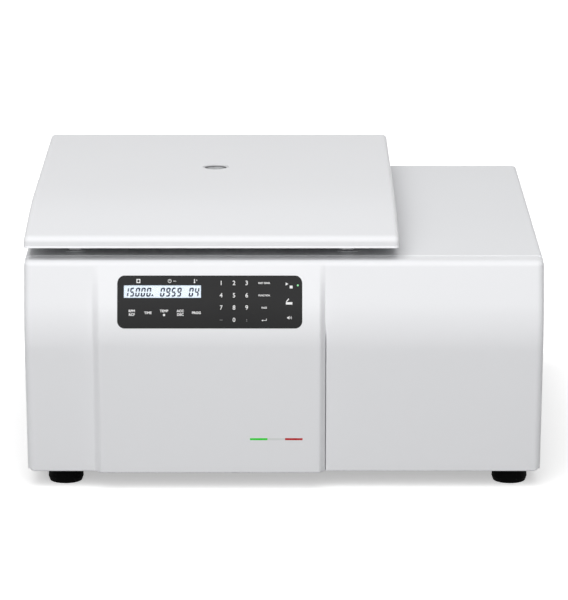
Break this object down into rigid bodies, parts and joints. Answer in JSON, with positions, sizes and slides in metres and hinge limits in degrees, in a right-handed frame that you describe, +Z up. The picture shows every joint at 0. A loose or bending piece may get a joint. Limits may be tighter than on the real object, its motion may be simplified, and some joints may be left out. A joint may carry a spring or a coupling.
{
  "type": "refrigerated centrifuge",
  "caption": "Refrigerated bench centrifuge: hinged lid with a viewport over a round rotor chamber, leaning front with keypad and display, cooling bay at the right, rubber feet.",
  "frame": {"origin": "centre of the footprint, on the bench under the feet", "axes": "+X to the machine's right seen from the front, +Y to its back, +Z up"},
  "size_m": [0.6, 0.566, 0.323],
  "materials": {
    "white_sheet": "smooth white powder coat",
    "white_moulding": "white moulding, satin paint",
    "black_rubber": "matt black rubber",
    "gasket_rubber": "soft dark rubber",
    "zinc_steel": "zinc plated sheet",
    "bright_steel": "bright steel",
    "stainless_steel": "brushed stainless sheet",
    "guard_paint": "grey primer",
    "keypad_film": "printed black film",
    "clear_window": "clear glass",
    "display": "pale blue display",
    "circuit_board": "green solder mask",
    "green_lamp": "green lamp",
    "anodised_aluminium": "dark anodised",
    "bare_aluminium": "bare fins",
    "black_plastic": "black moulding",
    "grey_plastic": "grey moulding",
    "motor_paint": "dark enamel",
    "compressor_paint": "black enamel",
    "copper": "copper tube",
    "foam": "rigid foam"
  },
  "bodies": {
    "housing": {"base_plate": "zinc_steel", "foot_front_left": "black_rubber", "foot_front_right": "black_rubber", "foot_rear_left": "black_rubber", "foot_rear_right": "black_rubber", "foot_screws": "bright_steel", "top_deck": "white_sheet", "side_panel_left": "white_sheet", "side_panel_right": "white_sheet", "rear_panel": "white_sheet", "housing_screws": "bright_steel", "front_panel": "white_moulding", "keypad_overlay": "keypad_film", "lcd_window": "clear_window", "lcd_module": "display", "keypad_board": "circuit_board", "status_led": "green_lamp", "hinge_brackets": "zinc_steel", "hinge_pins": "bright_steel", "hinge_springs": "bright_steel", "chamber_bowl": "stainless_steel", "chamber_gasket": "gasket_rubber", "chamber_insulation": "foam", "evaporator_coil": "copper", "guard_ring": "guard_paint", "temperature_probe": "bright_steel", "shaft_seal": "black_rubber", "motor_mount": "zinc_steel", "motor_posts": "zinc_steel", "motor_dampers": "black_rubber", "motor_housing": "motor_paint", "latch_bezels": "white_moulding", "latch_brackets": "zinc_steel", "latch_motor": "motor_paint", "compressor": "compressor_paint", "compressor_grommets": "black_rubber", "condenser": "bare_aluminium", "condenser_shroud": "grey_plastic", "fan_motor": "motor_paint", "refrigerant_pipes": "copper", "drive_inverter": "anodised_aluminium", "power_board": "circuit_board", "mains_inlet": "black_plastic", "switch_frame": "black_plastic"},
    "lid": {"lid_cover": "white_moulding", "lid_liner": "stainless_steel", "lid_insulation": "foam", "lid_armour_plate": "zinc_steel", "viewport_sleeve": "grey_plastic", "viewport_glass": "clear_window", "lid_screws": "bright_steel", "lid_strikers": "bright_steel", "lid_hinge_leaves": "zinc_steel"},
    "rotor": {"drive_shaft": "bright_steel", "rotor": "anodised_aluminium"},
    "rotor_knob": {"rotor_knob": "black_plastic"},
    "lock_shaft": {"latch_shaft": "bright_steel"},
    "fan": {"fan_rotor": "black_plastic"},
    "power_rocker": {"power_rocker": "black_plastic"}
  },
  "joints": [
    {"name": "lid_hinge", "type": "hinge", "parent": "housing", "child": "lid", "pos_m": [-0.084, 0.254, 0.2865], "axis": [-1, 0, 0], "range_deg": [0, 72], "stiffness_Nm_per_rad": 6.8, "springref_deg": 110.01},
    {"name": "rotor_spin", "type": "hinge", "parent": "housing", "child": "rotor", "pos_m": [-0.084, 0.051, 0.2], "axis": [0, 0, 1], "continuous": true},
    {"name": "knob_turn", "type": "hinge", "parent": "rotor", "child": "rotor_knob", "pos_m": [-0.084, 0.051, 0.2395], "axis": [0, 0, 1], "range_deg": [0, 720]},
    {"name": "lock_turn", "type": "hinge", "parent": "housing", "child": "lock_shaft", "pos_m": [-0.084, -0.206, 0.2393], "axis": [1, 0, 0], "range_deg": [0, 30]},
    {"name": "fan_spin", "type": "hinge", "parent": "housing", "child": "fan", "pos_m": [0.2362, 0.149, 0.1265], "axis": [1, 0, 0], "continuous": true},
    {"name": "power_switch", "type": "hinge", "parent": "housing", "child": "power_rocker", "pos_m": [0.188, 0.274, 0.0915], "axis": [-1, 0, 0], "range_deg": [0, 16]}
  ]
}
